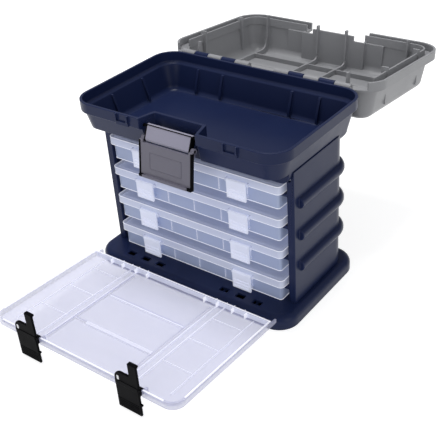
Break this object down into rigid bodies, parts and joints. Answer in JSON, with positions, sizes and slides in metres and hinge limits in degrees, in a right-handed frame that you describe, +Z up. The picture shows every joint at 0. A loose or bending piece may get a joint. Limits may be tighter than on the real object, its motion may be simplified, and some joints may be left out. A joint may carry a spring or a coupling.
{
  "type": "tackle box",
  "caption": "Moulded tackle box with an open top bin under a hinged lid, slide-out clear trays in a cabinet, and a clear drop-down front door held by clips.",
  "frame": {"origin": "on the surface that the box stands on, under the middle of the bin rim", "axes": "+Z up, -Y to the front where the door drops, +X to the right seen from the front"},
  "size_m": [0.28, 0.5228, 0.2192],
  "materials": {
    "navy_plastic": "satin moulded",
    "grey_plastic": "satin moulded",
    "black_plastic": "semi-gloss moulded",
    "clear_plastic": "translucent, slightly frosted",
    "steel": "bright drawn wire"
  },
  "bodies": {
    "root": {"base": "navy_plastic", "cabinet": "navy_plastic", "top_bin": "navy_plastic", "lid_hinge_pin_left": "steel", "lid_hinge_pin_right": "steel", "latch_pin_upper": "steel", "door_hinge_pin_left": "steel", "door_hinge_pin_right": "steel"},
    "lid": {"lid": "grey_plastic"},
    "handle": {"handle": "grey_plastic"},
    "latch_link": {"latch_link": "black_plastic", "latch_pin_lower": "steel"},
    "latch_flap": {"latch_flap": "black_plastic"},
    "door": {"door": "clear_plastic", "clip_pin_left": "clear_plastic", "clip_pin_right": "clear_plastic"},
    "clip_left": {"clip_left": "black_plastic"},
    "clip_right": {"clip_right": "black_plastic"},
    "tray_1": {"tray_1_box": "clear_plastic", "tray_1_lid": "clear_plastic", "tray_1_dividers": "clear_plastic"},
    "tray_1_latch_left": {"tray_1_latch_left": "clear_plastic"},
    "tray_1_latch_right": {"tray_1_latch_right": "clear_plastic"},
    "tray_2": {"tray_2_box": "clear_plastic", "tray_2_lid": "clear_plastic", "tray_2_dividers": "clear_plastic"},
    "tray_2_latch_left": {"tray_2_latch_left": "clear_plastic"},
    "tray_2_latch_right": {"tray_2_latch_right": "clear_plastic"},
    "tray_3": {"tray_3_box": "clear_plastic", "tray_3_lid": "clear_plastic", "tray_3_dividers": "clear_plastic"},
    "tray_3_latch_left": {"tray_3_latch_left": "clear_plastic"},
    "tray_3_latch_right": {"tray_3_latch_right": "clear_plastic"},
    "tray_4": {"tray_4_box": "clear_plastic", "tray_4_lid": "clear_plastic", "tray_4_dividers": "clear_plastic"},
    "tray_4_latch_left": {"tray_4_latch_left": "clear_plastic"},
    "tray_4_latch_right": {"tray_4_latch_right": "clear_plastic"}
  },
  "joints": [
    {"name": "lid_hinge", "type": "hinge", "parent": "root", "child": "lid", "pos_m": [0, 0.0885, 0.21], "axis": [-1, 0, 0], "range_deg": [-185.4, 0]},
    {"name": "handle_fold", "type": "hinge", "parent": "lid", "child": "handle", "pos_m": [0, 0.12543, 0.17035], "axis": [-1, 0, 0], "range_deg": [-84.6, 5]},
    {"name": "latch_link_pivot", "type": "hinge", "parent": "root", "child": "latch_link", "pos_m": [0, -0.0772, 0.203], "axis": [1, 0, 0], "range_deg": [-66, 0]},
    {"name": "latch_flap_pivot", "type": "hinge", "parent": "latch_link", "child": "latch_flap", "pos_m": [0, -0.08228, 0.19158], "axis": [1, 0, 0], "range_deg": [-106, 0]},
    {"name": "door_hinge", "type": "hinge", "parent": "root", "child": "door", "pos_m": [0, -0.0878, 0.012], "axis": [1, 0, 0], "range_deg": [-86.25, 0]},
    {"name": "clip_left_pivot", "type": "hinge", "parent": "door", "child": "clip_left", "pos_m": [-0.069, -0.24597, 0.02838], "axis": [-1, 0, 0], "range_deg": [-86.25, 0]},
    {"name": "clip_right_pivot", "type": "hinge", "parent": "door", "child": "clip_right", "pos_m": [0.069, -0.24597, 0.02838], "axis": [-1, 0, 0], "range_deg": [-86.25, 0]},
    {"name": "tray_1_slide", "type": "slide", "parent": "root", "child": "tray_1", "axis": [0, -1, 0], "range_m": [0, 0.033]},
    {"name": "tray_1_latch_left_pivot", "type": "hinge", "parent": "tray_1", "child": "tray_1_latch_left", "pos_m": [-0.064, -0.0573, 0.153], "axis": [-1, 0, 0], "range_deg": [0, 85]},
    {"name": "tray_1_latch_right_pivot", "type": "hinge", "parent": "tray_1", "child": "tray_1_latch_right", "pos_m": [0.064, -0.0573, 0.153], "axis": [-1, 0, 0], "range_deg": [0, 85]},
    {"name": "tray_2_slide", "type": "slide", "parent": "root", "child": "tray_2", "axis": [0, -1, 0], "range_m": [0, 0.09]},
    {"name": "tray_2_latch_left_pivot", "type": "hinge", "parent": "tray_2", "child": "tray_2_latch_left", "pos_m": [-0.064, -0.0573, 0.1145], "axis": [-1, 0, 0], "range_deg": [0, 85]},
    {"name": "tray_2_latch_right_pivot", "type": "hinge", "parent": "tray_2", "child": "tray_2_latch_right", "pos_m": [0.064, -0.0573, 0.1145], "axis": [-1, 0, 0], "range_deg": [0, 85]},
    {"name": "tray_3_slide", "type": "slide", "parent": "root", "child": "tray_3", "axis": [0, -1, 0], "range_m": [0, 0.09]},
    {"name": "tray_3_latch_left_pivot", "type": "hinge", "parent": "tray_3", "child": "tray_3_latch_left", "pos_m": [-0.064, -0.0573, 0.076], "axis": [-1, 0, 0], "range_deg": [0, 85]},
    {"name": "tray_3_latch_right_pivot", "type": "hinge", "parent": "tray_3", "child": "tray_3_latch_right", "pos_m": [0.064, -0.0573, 0.076], "axis": [-1, 0, 0], "range_deg": [0, 85]},
    {"name": "tray_4_slide", "type": "slide", "parent": "root", "child": "tray_4", "axis": [0, -1, 0], "range_m": [0, 0.031]},
    {"name": "tray_4_latch_left_pivot", "type": "hinge", "parent": "tray_4", "child": "tray_4_latch_left", "pos_m": [-0.064, -0.0573, 0.0375], "axis": [-1, 0, 0], "range_deg": [0, 85]},
    {"name": "tray_4_latch_right_pivot", "type": "hinge", "parent": "tray_4", "child": "tray_4_latch_right", "pos_m": [0.064, -0.0573, 0.0375], "axis": [-1, 0, 0], "range_deg": [0, 85]}
  ],
  "couplings": [
    {"joint": "clip_left_pivot", "follows": "door_hinge", "ratio": 1},
    {"joint": "clip_right_pivot", "follows": "door_hinge", "ratio": 1}
  ]
}
